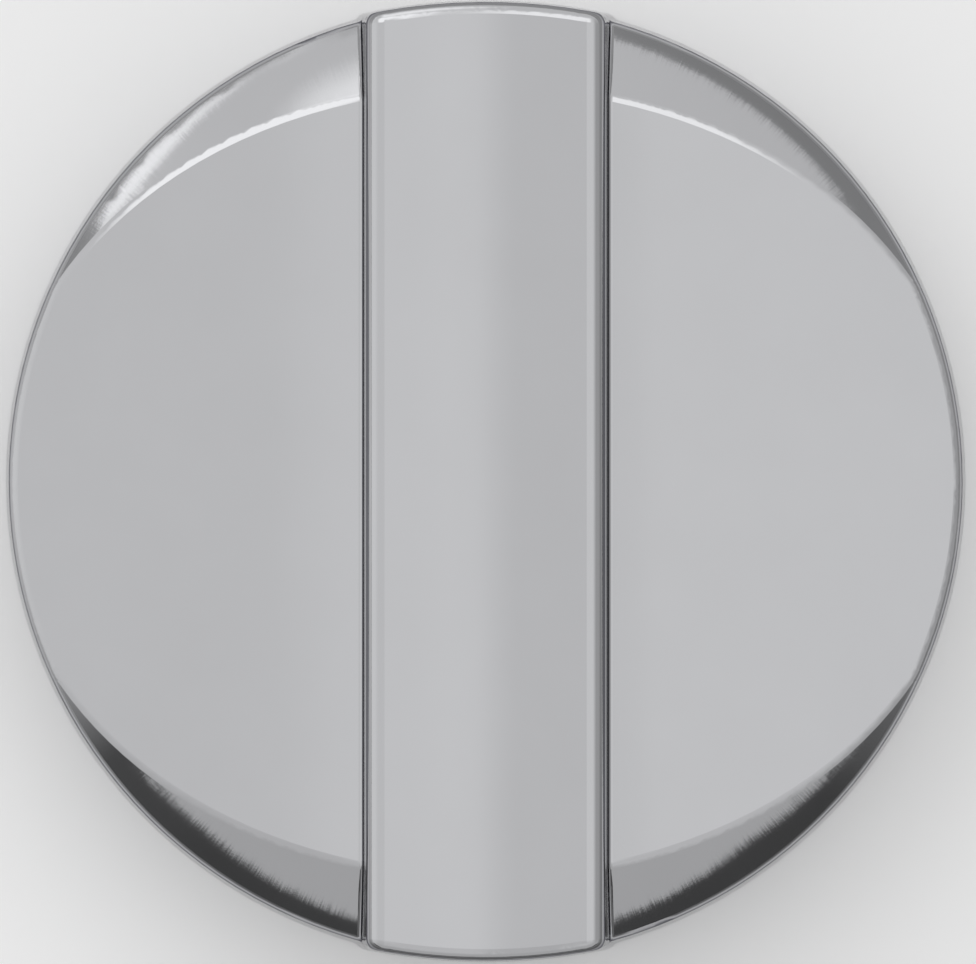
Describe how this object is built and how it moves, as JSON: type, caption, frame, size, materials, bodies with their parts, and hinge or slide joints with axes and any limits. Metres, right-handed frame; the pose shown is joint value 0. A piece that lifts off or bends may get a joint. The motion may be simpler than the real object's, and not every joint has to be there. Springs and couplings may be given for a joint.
{
  "type": "control knob",
  "caption": "Chromed round control knob with a full-width raised grip bar across shallow wings, a hollow ribbed back and a flatted shaft hole with a spring leaf.",
  "frame": {"origin": "centre of the back rim, on the plane of its edge", "axes": "+Z out of the face along the shaft's axis, +Y along the grip bar on the side of the shaft's flat"},
  "size_m": [0.042, 0.0422, 0.017],
  "materials": {
    "chromed_casting": "bright chromium plate over a zinc alloy die casting",
    "hub_plastic": "heat resistant glass filled plastic, as moulded",
    "spring_steel": "rolled spring steel strip"
  },
  "bodies": {
    "root": {"knob_body": "chromed_casting", "hub_insert": "hub_plastic", "shaft_clip": "spring_steel"}
  },
  "joints": []
}
